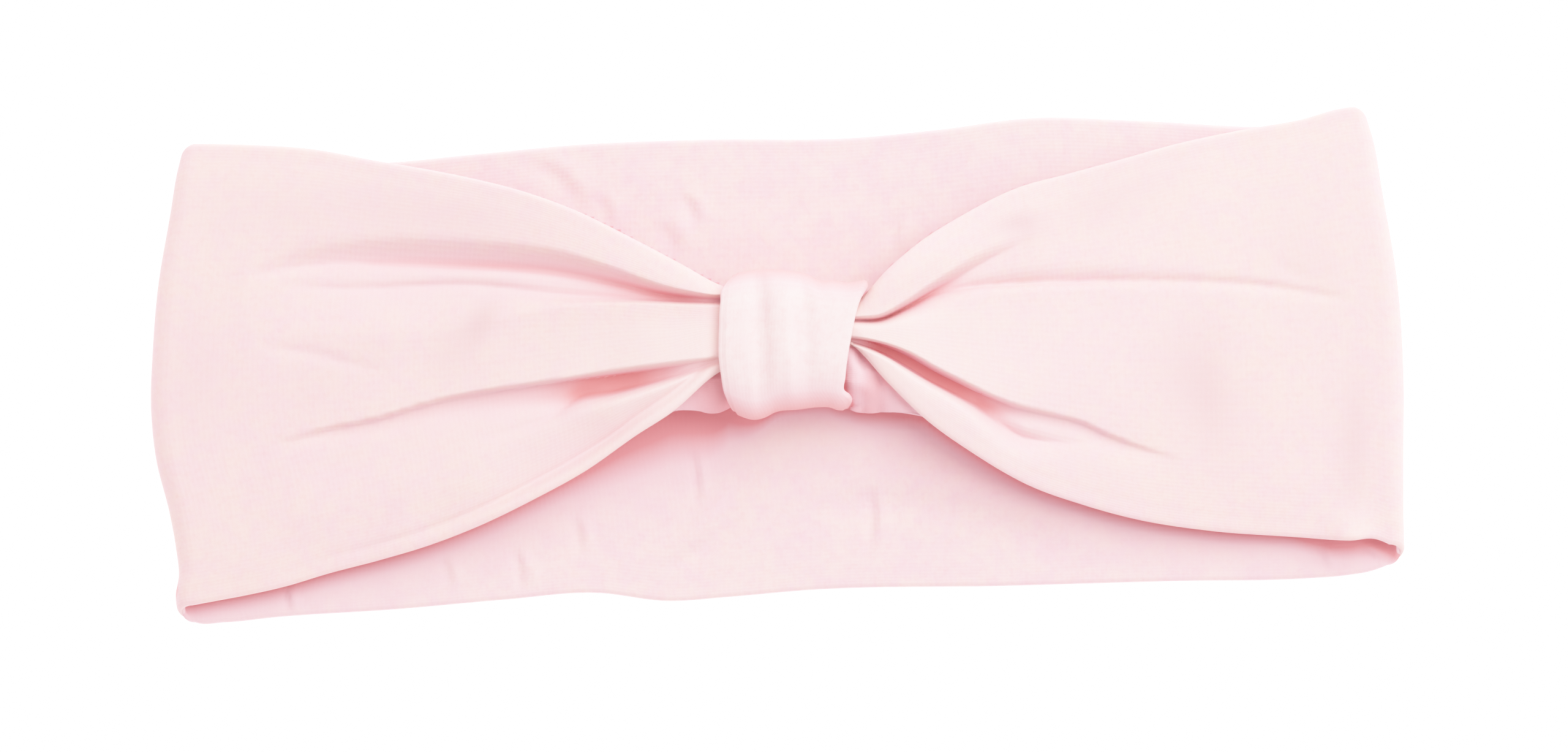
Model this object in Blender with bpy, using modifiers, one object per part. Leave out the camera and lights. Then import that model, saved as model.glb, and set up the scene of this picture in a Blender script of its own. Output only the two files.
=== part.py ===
"""A gathered jersey headband that lies flat: a wide two-layer loop, gathered in front under a centre wrap.

Frame: +X along the band, +Y across it towards its upper edge, +Z up from the surface it lies on.
The origin is under the middle of the loop, on that surface. All lengths are in metres.
"""

import math

import bmesh
import bpy
import numpy as np

MM = 0.001

# ---- driving dimensions -------------------------------------------------------------------------
CLOTH = 0.7 * MM  # thickness of one layer of jersey
SLOT = 0.7 * MM  # space between two layers that are sewn together
THREAD_RADIUS = 0.13 * MM

BACK_MIDDLE = CLOTH + SLOT / 2  # height of the middle of the back panel's two layers
FRONT_MIDDLE = 9.4 * MM  # height of the middle of the front panel's two layers, away from the wrap
LAYER_OFFSET = (CLOTH + SLOT) / 2  # from that middle to the middle of either layer
TURN_RADIUS = (FRONT_MIDDLE - BACK_MIDDLE) / 2

SEAM_X = 2.4 * MM  # the strip's ends meet here, under the wrap
SEAM_GAP = 0.4 * MM
EDGE_SEAM_INSET = 1.5 * MM  # from the band's edge to the thread that sews it

WRAP_CENTRE_Y = 3.2 * MM
WRAP_CENTRE_Z = 13.6 * MM
WRAP_HALF_WIDTH = 13.9 * MM  # across the band, outside
WRAP_HALF_HEIGHT = 6.9 * MM  # upright, outside
WRAP_LEFT_X = -10.7 * MM
WRAP_RIGHT_X = 13.2 * MM  # at the wrap's centre; the right edge leans outwards towards the top
WRAP_RIGHT_LEAN = 0.13
WRAP_SQUARENESS = 2.5  # 2 is an ellipse, more is squarer

NECK_RIDGE_Z = 16.6 * MM  # top of the gathers' ridges, middle of the outer layer
NECK_VALLEY_DEPTH = 3.0 * MM
NECK_EDGE_DROP = 2.4 * MM
NECK_LINING_Z = 10.1 * MM
NECK_LINING_CURL = 2.2 * MM  # how far the lining's edges turn up inside the wrap
GATHER_REACH = 34 * MM  # over which the gathers fade out along the band
VALLEY_WIDTH = 0.075  # share of the panel's width

CLOSING_SEAM_ANGLE = 0.05  # round the wrap's section, from its lowest point to its closing thread
GATHERING_TURNS = 3
GATHERING_PITCH = 3 * MM
GATHERING_CLEARANCE = 0.45 * MM  # from the wrap's inner ply to the middle of the gathering thread

BAND_COLOUR = (0.95, 0.76, 0.76, 1.0)
LINING_COLOUR = (0.93, 0.72, 0.74, 1.0)
WRAP_COLOUR = (0.96, 0.79, 0.79, 1.0)
THREAD_COLOUR = (0.90, 0.66, 0.68, 1.0)
JERSEY_ROUGHNESS = 0.9
THREAD_ROUGHNESS = 0.7

# ---- outlines, as hand-placed points in millimetres --------------------------------------------
LEFT_END = [(0, -115.5), (0.25, -118.2), (0.42, -120.1), (0.6, -119.3), (0.8, -116.6), (1, -112.5)]
RIGHT_END = [(0, 118.8), (0.2, 119.5), (0.42, 120.1), (0.65, 119.6), (0.85, 117.4), (1, 115.2)]

FRONT_UPPER = [
    (-112, 46), (-87, 44), (-75, 41.1), (-57, 37.3), (-42, 32.3), (-27.5, 24.8), (-19, 19.6), (-10.5, 14.8),
    (2.4, 12.4), (15.5, 10.6), (25, 19), (36, 26), (45, 30.4), (63, 34.7), (78, 38.2), (96, 41.2), (110, 43.9),
]
FRONT_LOWER = [
    (-115, -42), (-90, -38.2), (-66, -32.1), (-52, -26.9), (-37, -19.5), (-20, -9.8), (-11, -1.9),
    (2.4, 0.4), (14.4, 2.2), (21, -5.4), (31, -14.6), (41, -22.1), (54, -28.5), (68, -33.2),
    (90, -36.9), (113, -39),
]
LINING_UPPER = [
    (-112, 46), (-87, 44), (-75, 41.1), (-57, 37.3), (-42, 32.3), (-27.5, 24.8), (-19, 19.2), (-10.5, 12.6),
    (2.4, 11.4), (15.5, 10.2), (25, 18.6), (36, 26), (45, 30.4), (63, 34.7), (78, 38.2), (96, 41.2),
    (110, 43.9),
]
LINING_LOWER = [
    (-115, -42), (-90, -38.2), (-66, -32.1), (-52, -26.9), (-37, -19.5), (-27, -12.4), (-20, -9.4),
    (-11, -7.6), (2.4, -7.2), (14.4, -7.8), (22, -10.6), (31, -14.6), (41, -22.1), (54, -28.5), (68, -33.2),
    (90, -36.9), (113, -39),
]
BACK_UPPER = [(-112, 42.5), (-75, 41.2), (-36, 43), (0, 42.7), (33, 43.1), (52, 44.5), (75, 43), (112, 41)]
BACK_LOWER = [(-115, -46), (-75, -44.8), (-37, -43.3), (-20, -45.2), (4, -44.4), (75, -45.4), (112, -45.4)]

# The two valleys between the gathers' three ridges, as shares of the panel's width.
UPPER_VALLEY = [(-80, 0.76), (-37, 0.78), (-11, 0.8), (2.4, 0.68), (15, 0.56), (31, 0.67), (80, 0.66)]
LOWER_VALLEY = [(-80, 0.35), (-37, 0.33), (-11, 0.16), (2.4, 0.2), (15, 0.22), (31, 0.24), (80, 0.26)]

# Mesh density. The columns are shares of the way from the seam to an end.
FRONT_COLUMNS = (0, 0.05, 0.1, 0.16, 0.23, 0.31, 0.41, 0.54, 0.76, 1)
BACK_STEPS = 9
TURN_STEPS = 6
OUTER_ROWS = 17
LINING_ROWS = 9
WRAP_STEPS = 30
END_JOIN_STEPS = 10
CLOSING_STEPS = 6
GATHERING_STEPS_PER_TURN = 20


def start_empty():
    """Clears the objects of the open scene and makes the collection for the headband."""
    for old in list(bpy.data.objects):
        bpy.data.objects.remove(old, do_unlink=True)
    group = bpy.data.collections.new("headband")
    bpy.context.scene.collection.children.link(group)
    return group


def smooth_line(points, unit_in=MM, unit_out=MM):
    """A smooth function through hand-placed points, level beyond the first and the last."""
    xs = np.array([p[0] for p in points], float) * unit_in
    ys = np.array([p[1] for p in points], float) * unit_out
    slopes = np.gradient(ys, xs)

    def value(x):
        x = min(max(x, xs[0]), xs[-1])
        i = min(max(int(np.searchsorted(xs, x)) - 1, 0), len(xs) - 2)
        step = xs[i + 1] - xs[i]
        t = (x - xs[i]) / step
        start = (1 + 2 * t) * (1 - t) ** 2 * ys[i] + t * (1 - t) ** 2 * step * slopes[i]
        end = t * t * (3 - 2 * t) * ys[i + 1] + t * t * (t - 1) * step * slopes[i + 1]
        return start + end

    return value


left_end = smooth_line(LEFT_END, unit_in=1)
right_end = smooth_line(RIGHT_END, unit_in=1)
front_upper = smooth_line(FRONT_UPPER)
front_lower = smooth_line(FRONT_LOWER)
lining_upper = smooth_line(LINING_UPPER)
lining_lower = smooth_line(LINING_LOWER)
back_upper = smooth_line(BACK_UPPER)
back_lower = smooth_line(BACK_LOWER)
upper_valley = smooth_line(UPPER_VALLEY, unit_out=1)
lower_valley = smooth_line(LOWER_VALLEY, unit_out=1)


def mix(a, b, share):
    return a + (b - a) * share


def gathered(x):
    """How strongly the band is gathered at x: 1 under the wrap, falling to 0 towards the ends."""
    beyond = max(0.0, WRAP_LEFT_X - x, x - WRAP_RIGHT_X)
    return math.exp(-((beyond / GATHER_REACH) ** 1.5))


def outer_front_height(x, v):
    """Height of the middle of the outer layer over the front: three ridges that fan out from the wrap."""
    pull = gathered(x)
    flat = FRONT_MIDDLE + LAYER_OFFSET
    valley = 0.0
    for centre in (upper_valley(x), lower_valley(x)):
        valley += math.exp(-(((v - centre) / VALLEY_WIDTH) ** 2))
    edge = abs(2 * v - 1) ** 4
    ridge = mix(flat, NECK_RIDGE_Z, pull)
    return ridge - pull * (NECK_VALLEY_DEPTH * valley + NECK_EDGE_DROP * edge)


def lining_front_height(x, v):
    """Height of the middle of the lining over the front: smooth, with edges that turn up inside the wrap."""
    pull = gathered(x) ** 3
    flat = FRONT_MIDDLE - LAYER_OFFSET
    return mix(flat, NECK_LINING_Z, pull) + pull * NECK_LINING_CURL * abs(2 * v - 1) ** 4


def outer_front(x, v):
    return x, mix(front_lower(x), front_upper(x), v), outer_front_height(x, v)


def lining_front(x, v):
    return x, mix(lining_lower(x), lining_upper(x), v), lining_front_height(x, v)


def column_points(front, offset, v, front_columns=FRONT_COLUMNS):
    """One line round the loop at the share v of the width: seam, right end, back, left end and seam again."""
    left_x = left_end(v) + BACK_MIDDLE + TURN_RADIUS
    right_x = right_end(v) - BACK_MIDDLE - TURN_RADIUS
    radius = TURN_RADIUS + offset
    middle_z = (FRONT_MIDDLE + BACK_MIDDLE) / 2
    points = []
    for share in front_columns:
        points.append(front(mix(SEAM_X + SEAM_GAP / 2, right_x, share), v))
    for step in range(1, TURN_STEPS):
        points.append(turn_point(front, v, right_x, radius, middle_z, step / TURN_STEPS, 1))
    for step in range(BACK_STEPS + 1):
        x = mix(right_x, left_x, step / BACK_STEPS)
        points.append((x, mix(back_lower(x), back_upper(x), v), BACK_MIDDLE - offset))
    for step in range(1, TURN_STEPS):
        points.append(turn_point(front, v, left_x, radius, middle_z, 1 - step / TURN_STEPS, -1))
    for share in reversed(front_columns):
        points.append(front(mix(SEAM_X - SEAM_GAP / 2, left_x, share), v))
    return points


def turn_point(front, v, x, radius, middle_z, share, side):
    """A point on the half circle in which the band turns under at an end; share runs from front to back."""
    angle = math.pi * (0.5 - share)
    down = (1 - math.sin(angle)) / 2
    y = mix(front(x, v)[1], mix(back_lower(x), back_upper(x), v), down)
    return x + side * radius * math.cos(angle), y, middle_z + radius * math.sin(angle)


def material(name, colour, roughness):
    """A plain cloth or thread material."""
    made = bpy.data.materials.new(name)
    made.use_nodes = True
    shader = made.node_tree.nodes["Principled BSDF"]
    shader.inputs["Base Color"].default_value = colour
    shader.inputs["Roughness"].default_value = roughness
    shader.inputs["Metallic"].default_value = 0.0
    return made


def sheet_object(group, name, lines, finish, thickness):
    """A layer of cloth: a grid through the given lines of points, thickened both ways."""
    mesh = bpy.data.meshes.new(name)
    grid = bmesh.new()
    rows = [[grid.verts.new(p) for p in line] for line in lines]
    for low, high in zip(rows, rows[1:]):
        for a, b, c, d in zip(low, low[1:], high[1:], high):
            grid.faces.new((a, b, c, d))
    bmesh.ops.recalc_face_normals(grid, faces=grid.faces)
    grid.to_mesh(mesh)
    grid.free()
    mesh.shade_smooth()
    layer = bpy.data.objects.new(name, mesh)
    layer.data.materials.append(finish)
    group.objects.link(layer)
    solid = layer.modifiers.new("cloth thickness", "SOLIDIFY")
    solid.thickness = thickness
    solid.offset = 0
    return layer


def thread_object(group, name, points, finish):
    """A thread: a thin round tube through the points, with closed ends."""
    curve = bpy.data.curves.new(name, "CURVE")
    curve.dimensions = "3D"
    curve.bevel_depth = THREAD_RADIUS
    curve.bevel_resolution = 1
    curve.use_fill_caps = True
    line = curve.splines.new("POLY")
    line.points.add(len(points) - 1)
    for spot, point in zip(line.points, points):
        spot.co = (*point, 1)
    thread = bpy.data.objects.new(name, curve)
    thread.data.materials.append(finish)
    group.objects.link(thread)
    return thread


# ---- the band ------------------------------------------------------------------------------------
def make_band(group, outer_finish, lining_finish):
    outer_lines = [
        column_points(outer_front, LAYER_OFFSET, row / (OUTER_ROWS - 1)) for row in range(OUTER_ROWS)
    ]
    sheet_object(group, "band_outer", outer_lines, outer_finish, CLOTH)
    lining_lines = [
        column_points(lining_front, -LAYER_OFFSET, row / (LINING_ROWS - 1)) for row in range(LINING_ROWS)
    ]
    sheet_object(group, "band_lining", lining_lines, lining_finish, CLOTH)


def between_layers(x, y):
    """A point half way between the underside of the outer layer and the top of the lining, over the front."""
    outer_v = (y - front_lower(x)) / (front_upper(x) - front_lower(x))
    lining_v = (y - lining_lower(x)) / (lining_upper(x) - lining_lower(x))
    height = (outer_front_height(x, outer_v) + lining_front_height(x, lining_v)) / 2
    return x, y, height


def edge_seam(inset_from_lower):
    """A line between the layers, a small way in from the lower or the upper edge, round the whole loop."""

    def front(x, v):
        if inset_from_lower:
            return between_layers(x, front_lower(x) + EDGE_SEAM_INSET)
        return between_layers(x, min(front_upper(x), lining_upper(x)) - EDGE_SEAM_INSET)

    share = EDGE_SEAM_INSET / (back_upper(0) - back_lower(0))
    return column_points(front, 0, share if inset_from_lower else 1 - share)


def make_band_threads(group, finish):
    thread_object(group, "lower_edge_thread", edge_seam(True), finish)
    thread_object(group, "upper_edge_thread", edge_seam(False), finish)
    low = front_lower(SEAM_X) + 2 * EDGE_SEAM_INSET
    high = front_upper(SEAM_X) - 2 * EDGE_SEAM_INSET
    shares = [step / END_JOIN_STEPS for step in range(END_JOIN_STEPS + 1)]
    join = [between_layers(SEAM_X, mix(low, high, share)) for share in shares]
    thread_object(group, "end_join_thread", join, finish)


# ---- the wrap ------------------------------------------------------------------------------------
def wrap_point(x, angle, depth):
    """A point of the wrap's oval section at x; depth is measured in from its outside."""
    power = 2 / WRAP_SQUARENESS
    across = math.copysign(abs(math.cos(angle)) ** power, math.cos(angle))
    upright = math.copysign(abs(math.sin(angle)) ** power, math.sin(angle))
    y = WRAP_CENTRE_Y + (WRAP_HALF_WIDTH - depth) * across
    z = WRAP_CENTRE_Z + (WRAP_HALF_HEIGHT - depth) * upright
    return x, y, z


def wrap_right(angle):
    """Where the wrap's right edge is at this angle round its section."""
    return WRAP_RIGHT_X + WRAP_RIGHT_LEAN * WRAP_HALF_WIDTH * math.cos(angle)


def wrap_angles():
    """Angles round the wrap's section, from just past its closing seam at the bottom to just before it."""
    gap = SEAM_GAP / WRAP_HALF_WIDTH
    start = -math.pi / 2 + gap
    sweep = 2 * math.pi - 2 * gap
    return [start + sweep * step / WRAP_STEPS for step in range(WRAP_STEPS + 1)]


def wrap_fold(angle):
    """The folded strip's profile at this angle: inner ply, left fold, outer ply, right fold, inner ply."""
    right = wrap_right(angle)
    middle = (WRAP_LEFT_X + right) / 2
    outside = CLOTH / 2
    inside = outside + CLOTH + SLOT
    fold = (outside + inside) / 2
    bend = LAYER_OFFSET
    left_in = WRAP_LEFT_X + bend + CLOTH / 2
    right_in = right - bend - CLOTH / 2
    turn = bend * math.sqrt(0.5)
    profile = [
        (middle - SEAM_GAP / 2, inside),
        (left_in, inside),
        (left_in - turn, fold + turn),
        (left_in - bend, fold),
        (left_in - turn, fold - turn),
        (left_in, outside),
        (middle, outside),
        (right_in, outside),
        (right_in + turn, fold - turn),
        (right_in + bend, fold),
        (right_in + turn, fold + turn),
        (right_in, inside),
        (middle + SEAM_GAP / 2, inside),
    ]
    return [wrap_point(x, angle, depth) for x, depth in profile]


def make_wrap(group, finish, thread_finish):
    sheet_object(group, "centre_wrap", [wrap_fold(angle) for angle in wrap_angles()], finish, CLOTH)
    between = CLOTH + SLOT / 2
    along = [
        wrap_point((WRAP_LEFT_X + wrap_right(angle)) / 2, angle, between) for angle in wrap_angles()[1:-1]
    ]
    thread_object(group, "wrap_seam_thread", along, thread_finish)


def make_wrap_closing(group, finish):
    """The seam across the wrap's two ends, which lies in the space between its plies at the bottom."""
    angle = -math.pi / 2 + CLOSING_SEAM_ANGLE
    start = WRAP_LEFT_X + 2 * CLOTH + SLOT
    end = wrap_right(angle) - 2 * CLOTH - SLOT
    between = CLOTH + SLOT / 2
    shares = [step / CLOSING_STEPS for step in range(CLOSING_STEPS + 1)]
    line = [wrap_point(mix(start, end, share), angle, between) for share in shares]
    thread_object(group, "wrap_closing_thread", line, finish)


def make_gathering_thread(group, finish):
    """The thread wound round the gathers, between them and the wrap's inner ply."""
    depth = 2 * CLOTH + SLOT + GATHERING_CLEARANCE
    line = []
    for step in range(GATHERING_TURNS * GATHERING_STEPS_PER_TURN + 1):
        turns = step / GATHERING_STEPS_PER_TURN
        x = SEAM_X + GATHERING_PITCH * (turns - GATHERING_TURNS / 2)
        line.append(wrap_point(x, 2 * math.pi * turns, depth))
    thread_object(group, "gathering_thread", line, finish)


def main():
    group = start_empty()
    outer_finish = material("outer jersey", BAND_COLOUR, JERSEY_ROUGHNESS)
    lining_finish = material("lining jersey", LINING_COLOUR, JERSEY_ROUGHNESS)
    wrap_finish = material("wrap jersey", WRAP_COLOUR, JERSEY_ROUGHNESS)
    thread_finish = material("sewing thread", THREAD_COLOUR, THREAD_ROUGHNESS)
    make_band(group, outer_finish, lining_finish)
    make_band_threads(group, thread_finish)
    make_wrap(group, wrap_finish, thread_finish)
    make_wrap_closing(group, thread_finish)
    make_gathering_thread(group, thread_finish)


main()
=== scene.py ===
"""The looks of a gathered jersey headband that lies flat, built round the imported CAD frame.

Shapes are worked out in millimetres in the CAD's frame (+X along the band, +Y towards its upper edge, +Z up)
and turned into metres when a mesh is made. The band is one long strip that runs from the seam under the wrap
to the right end, back along the underside, round the left end and to the seam again.
"""

import math

import bpy
import numpy as np
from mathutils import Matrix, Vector


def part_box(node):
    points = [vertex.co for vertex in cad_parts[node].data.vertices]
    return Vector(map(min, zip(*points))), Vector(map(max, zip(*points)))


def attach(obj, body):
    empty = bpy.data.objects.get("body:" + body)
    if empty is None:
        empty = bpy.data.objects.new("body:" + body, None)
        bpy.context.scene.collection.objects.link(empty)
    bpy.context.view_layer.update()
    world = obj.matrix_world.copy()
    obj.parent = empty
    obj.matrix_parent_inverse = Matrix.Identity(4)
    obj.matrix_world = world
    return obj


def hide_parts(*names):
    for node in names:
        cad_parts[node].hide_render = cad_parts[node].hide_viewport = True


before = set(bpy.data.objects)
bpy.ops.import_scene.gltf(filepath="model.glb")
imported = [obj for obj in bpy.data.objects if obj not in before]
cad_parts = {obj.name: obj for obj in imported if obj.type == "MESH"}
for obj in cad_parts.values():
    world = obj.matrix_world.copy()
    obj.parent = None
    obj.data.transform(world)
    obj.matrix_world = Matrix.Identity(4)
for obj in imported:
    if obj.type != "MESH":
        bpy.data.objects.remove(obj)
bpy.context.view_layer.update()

MM = 0.001


def box_mm(node):
    """The lowest and highest corners of a CAD node in millimetres."""
    low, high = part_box(node)
    return np.array(low) / MM, np.array(high) / MM


WRAP_LOW, WRAP_HIGH = box_mm("centre_wrap")

# ---- cloth, in millimetres -----------------------------------------------------------------------
CLOTH = 0.5  # thickness of one layer
PLAIN_HALF = 0.75  # half the thickness of the doubled band
RIM_RADIUS = 1.0  # of the band's edge, where the seam allowance is turned in
RIM_WIDTH = 3.0  # from the edge to the shallow groove where the allowance ends
RIM_GROOVE = 0.42  # depth of that groove
RIM_GROOVE_RADIUS = 0.9
SETBACK = 0.5  # how far the hidden layer's edge lies behind the visible one's
BAND_FLAT = (90.0, 480.0)  # width and length of each of the band's layers when flat
WRAP_FLAT = (52.0, 72.0)
SEAM_X = 2.4  # where the strip's two ends meet, under the wrap
SEAM_GAP = 0.4  # between those ends
EDGE_SEAM_INSET = 1.5  # from the band's edge to its edge seams
GATHERING_TURNS = 3
WRAP_PLY = 1.5  # from the outside of the wrap's outer ply to the inside of its inner ply


def as_function(points):
    """A smooth function through given points, level beyond them; a plain number is the same everywhere."""
    if isinstance(points, (int, float)):
        return lambda x: np.full(np.shape(x), float(points))
    xs, ys = (np.array(column, float) for column in zip(*points))
    slopes = np.gradient(ys, xs) if len(xs) > 2 else np.zeros(2)

    def value(x):
        x = np.clip(x, xs[0], xs[-1])
        i = np.clip(np.searchsorted(xs, x) - 1, 0, len(xs) - 2)
        step = xs[i + 1] - xs[i]
        t = (x - xs[i]) / step
        start = (1 + 2 * t) * (1 - t) ** 2 * ys[i] + t * (1 - t) ** 2 * step * slopes[i]
        end = t * t * (3 - 2 * t) * ys[i + 1] + t * t * (t - 1) * step * slopes[i + 1]
        return start + end

    return value


def mix(a, b, share):
    return a + (b - a) * share


def ease(x, start, end):
    """0 before start, 1 after end and smooth between them."""
    t = np.clip((x - start) / (end - start), 0, 1)
    return t * t * (3 - 2 * t)


def ripples(x, y, size, seed, waves=20):
    """A smooth random surface of about -1 to 1 whose waves are about size millimetres long."""
    rng = np.random.default_rng(seed)
    total = np.zeros(np.broadcast(x, y).shape)
    for _ in range(waves):
        angle, phase = rng.uniform(0, 2 * math.pi, 2)
        pitch = 2 * math.pi / (size * rng.uniform(0.7, 1.7))
        total += np.sin((x * math.cos(angle) + y * math.sin(angle)) * pitch + phase)
    return total / math.sqrt(waves)


# ---- outlines ------------------------------------------------------------------------------------
left_end = as_function([
    (0, -116.6), (0.03, -116.9), (0.08, -116.1), (0.14, -116.4), (0.22, -117.4), (0.33, -119.5), (0.43, -120.1),
    (0.57, -119.3), (0.7, -117.9), (0.86, -115.0), (0.97, -113.0), (1, -112.2),
])
right_end = as_function([
    (0, 118.9), (0.06, 119.0), (0.2, 119.4), (0.42, 120.1), (0.6, 119.7), (0.82, 117.5), (0.95, 116.0), (1, 114.9),
])
FRONT_UPPER = [
    (-112, 46.1), (-100, 45.4), (-87, 44), (-75, 41.3), (-67, 39.6), (-57, 37.2), (-47, 34.2), (-37, 30.1),
    (-27, 24.7), (-17, 18.9), (-10.3, 14.9), (2.4, 12.6), (15.7, 10.6), (22, 16.6), (27, 20.6), (37, 26.5),
    (47, 31.0), (57, 33.4), (67, 35.7), (77, 38.1), (92, 40.7), (102.3, 42.1), (109.9, 43.9), (114, 44.3),
]
FRONT_LOWER = [
    (-114.3, -42.4), (-109.4, -41.7), (-102, -40.6), (-95.6, -39.4), (-87, -37.2), (-77, -35), (-67, -32.4),
    (-57, -28.9), (-47, -24.5), (-37, -19.5), (-27, -13.1), (-19.9, -8.9), (-11, -1.9), (2.4, 0.6), (14.4, 2.4),
    (20.8, -4.8), (27, -11.4), (37, -19.3), (47, -25.6), (57, -29.7), (67, -32.9), (82, -35.9), (97, -37.6),
    (108, -38.7), (113.6, -38.8), (116.1, -40.0), (118.9, -42.2),
]
front_upper = as_function(FRONT_UPPER)
front_lower = as_function(FRONT_LOWER)
lining_upper = as_function(
    [p for p in FRONT_UPPER if p[0] < -20] + [(-18.8, 17.6), (-10.3, 12.2), (2.4, 11.2), (15.7, 9.2)]
    + [(22, 15.8)] + [p for p in FRONT_UPPER if p[0] > 26]
)
lining_lower = as_function(
    [p for p in FRONT_LOWER if p[0] < -30]
    + [(-27, -12.9), (-20, -9.4), (-15, -9.5), (-12.5, -9.8), (-11, -9.6), (-9.5, -8.9), (-7, -7.2), (-4, -6.4)]
    + [(2.4, -6.2), (8, -6.4), (11, -7.8), (12.6, -9.4), (14.4, -10.4), (17, -10.9), (20, -11.1), (25, -11.7)]
    + [(29, -12.9)] + [p for p in FRONT_LOWER if p[0] > 36]
)
back_upper = as_function([
    (-112, 43.5), (-90, 41.6), (-75, 41.0), (-57, 41.9), (-36, 43), (-12, 43), (17, 42.2), (33, 43.1), (51, 44.6),
    (71, 43.3), (96, 41.1), (114, 41.0),
])
back_lower = as_function([
    (-116, -44.4), (-113.5, -45.8), (-108, -46.0), (-98, -45.4), (-75, -44.8), (-54, -43.8), (-36.3, -43.2),
    (-22.8, -45.3), (-10.8, -45), (4.2, -44.3), (41.7, -45), (75, -45.4), (100, -45.9), (108, -45.6), (113, -44.9),
    (116, -43.9), (119, -42.4),
])

# Height of the front panel's outside at its two edges and along its middle, and how far in from an edge it rises.
edge_height = as_function([
    (-104, 5.2), (-90, 5.8), (-78, 6.6), (-65, 7.8), (-50, 10.0), (-35, 12.6), (-22, 14.8), (-11, 15.4), (14, 15.4),
    (22, 14.6), (32, 12.4), (45, 9.6), (60, 7.8), (80, 6.4), (104, 5.2),
])
middle_height = as_function([
    (-104, 7.6), (-85, 8.4), (-65, 9.8), (-50, 12.0), (-35, 14.4), (-22, 16.6), (-11, 17.6), (14, 17.6), (24, 16.6),
    (36, 14.2), (50, 11.8), (70, 9.6), (104, 7.6),
])
rounding = as_function([
    (-95, 30), (-60, 22), (-35, 11), (-20, 6), (-11, 4), (14, 4), (24, 5), (38, 9), (60, 19), (95, 30),
])


# ---- folds ---------------------------------------------------------------------------------------
class Valley:
    """A fold along the band, between an upper and a lower line: full depth between them, sloping sides outside."""

    def __init__(self, upper, depth, above, below, lower=None, shoulder=1.7, foot=1.3):
        self.upper = as_function(upper)
        self.lower = as_function(lower or upper)
        self.depth = as_function(depth)
        self.above = as_function(above)
        self.below = as_function(below)
        self.shoulder = shoulder
        self.foot = foot

    def drop(self, x, y, widen=1.0):
        """How far the fold lowers the cloth at (x, y)."""
        slope = self.upper(x + 0.5) - self.upper(x - 0.5)
        lean = np.sqrt(1 + slope * slope)
        over = np.maximum(y - self.upper(x), 0) / lean / (self.above(x) * widen)
        under = np.maximum(self.lower(x) - y, 0) / lean / (self.below(x) * widen)
        high_side = np.clip(1 - over, 0, 1) ** self.shoulder
        low_side = np.exp(-(under**self.foot))
        return np.maximum(self.depth(x), 0) * np.minimum(high_side, low_side)


class Terrace:
    """A strip of cloth that lies lower than its surroundings, with a soft edge outside each of its two lines."""

    def __init__(self, upper, lower, depth, top_edge, foot_edge):
        self.upper = as_function(upper)
        self.lower = as_function(lower)
        self.depth = as_function(depth)
        self.top_edge = as_function(top_edge)
        self.foot_edge = as_function(foot_edge)

    def drop(self, x, y, widen=1.0):
        """How far the terrace lowers the cloth at (x, y)."""
        below_top = ease(self.upper(x) - y, -self.top_edge(x) * widen, 0.0)
        above_foot = ease(y - self.lower(x), -self.foot_edge(x) * widen, 0.3)
        return np.maximum(self.depth(x), 0) * below_top * above_foot


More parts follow.
